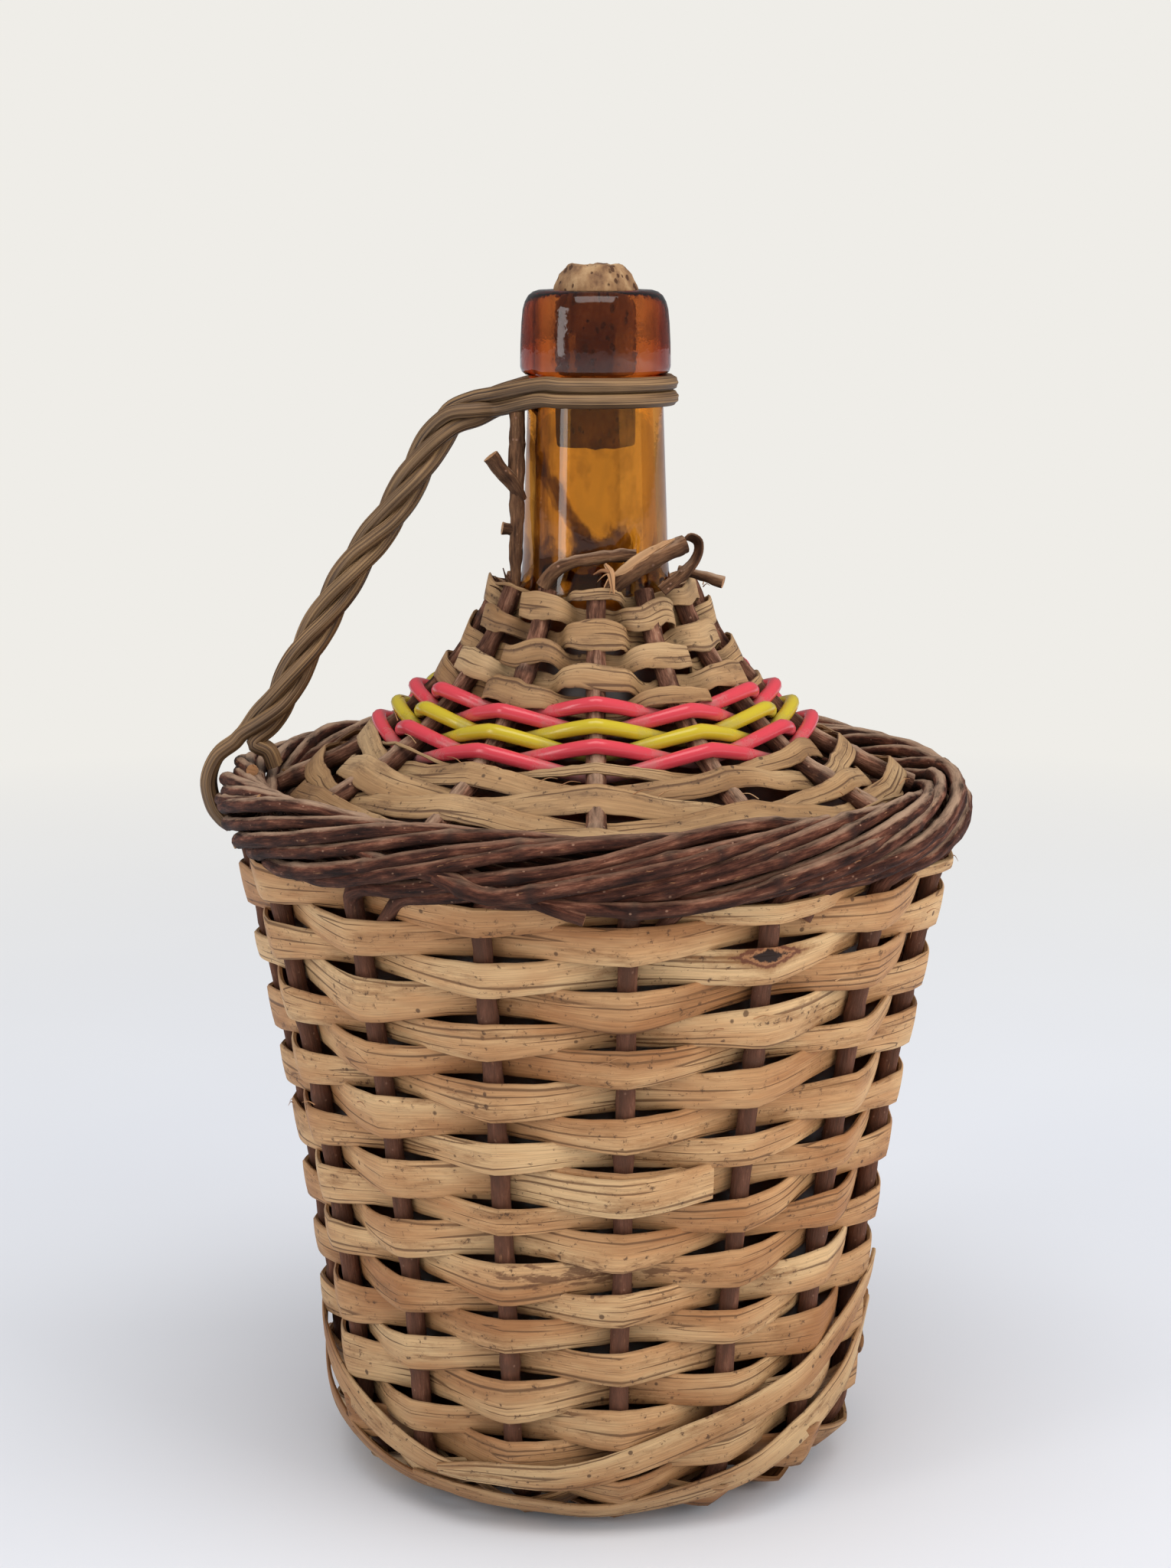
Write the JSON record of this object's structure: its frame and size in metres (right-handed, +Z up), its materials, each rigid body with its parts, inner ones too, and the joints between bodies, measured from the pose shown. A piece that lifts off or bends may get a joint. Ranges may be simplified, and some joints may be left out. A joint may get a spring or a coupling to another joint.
{
  "type": "wicker demijohn",
  "caption": "Amber glass demijohn with a cork, woven into a flared basket of willow stakes and split strips, with coloured strands on its shoulder and a twisted cane handle.",
  "frame": {"origin": "middle of the flat underside of the base cross, on the bottle's axis", "axes": "+Z up the bottle's axis, -Y towards the front as pictured, -X towards the handle"},
  "size_m": [0.2285, 0.2214, 0.359],
  "materials": {
    "willow_bark": "matt bark",
    "split_chestnut": "dry split wood",
    "weathered_strip": "weathered",
    "amber_glass": "gloss",
    "cork": "matt cork",
    "pink_plastic": "satin",
    "yellow_plastic": "satin",
    "rattan_cane": "matt cane"
  },
  "bodies": {
    "basket_and_bottle": {"side_stake_01": "willow_bark", "side_stake_02": "willow_bark", "side_stake_03": "willow_bark", "side_stake_04": "willow_bark", "side_stake_05": "willow_bark", "side_stake_06": "willow_bark", "side_stake_07": "willow_bark", "side_stake_08": "willow_bark", "side_stake_09": "willow_bark", "side_stake_10": "willow_bark", "side_stake_11": "willow_bark", "side_stake_12": "willow_bark", "side_stake_13": "willow_bark", "side_stake_14": "willow_bark", "side_stake_15": "willow_bark", "side_stake_16": "willow_bark", "base_stick_lower_1": "split_chestnut", "base_stick_lower_2": "split_chestnut", "base_stick_lower_3": "split_chestnut", "base_stick_upper_1": "split_chestnut", "base_stick_upper_2": "split_chestnut", "base_stick_upper_3": "split_chestnut", "base_weaver_a": "split_chestnut", "base_weaver_b": "split_chestnut", "side_weaver_a": "split_chestnut", "side_weaver_b": "split_chestnut", "shoulder_stake_01": "willow_bark", "shoulder_stake_02": "willow_bark", "shoulder_stake_03": "willow_bark", "shoulder_stake_04": "willow_bark", "shoulder_stake_05": "willow_bark", "shoulder_stake_06": "willow_bark", "shoulder_stake_07": "willow_bark", "shoulder_stake_08": "willow_bark", "shoulder_stake_09": "willow_bark", "shoulder_stake_10": "willow_bark", "shoulder_stake_11": "willow_bark", "shoulder_stake_12": "willow_bark", "upper_shoulder_strip_a": "weathered_strip", "upper_shoulder_strip_b": "weathered_strip", "lower_shoulder_strip_a": "weathered_strip", "lower_shoulder_strip_b": "weathered_strip", "pink_strand_1a": "pink_plastic", "pink_strand_1b": "pink_plastic", "yellow_strand_2a": "yellow_plastic", "yellow_strand_2b": "yellow_plastic", "pink_strand_3a": "pink_plastic", "pink_strand_3b": "pink_plastic", "glass_bottle": "amber_glass", "handle_cane_upper": "rattan_cane", "handle_cane_lower": "rattan_cane", "neck_twig": "willow_bark", "broken_stake_end": "willow_bark", "broken_stake_stub": "willow_bark"},
    "cork": {"cork_stopper": "cork"}
  },
  "joints": [
    {"name": "cork_pull", "type": "slide", "parent": "basket_and_bottle", "child": "cork", "axis": [0, 0, 1], "range_m": [0, 0.05]}
  ]
}
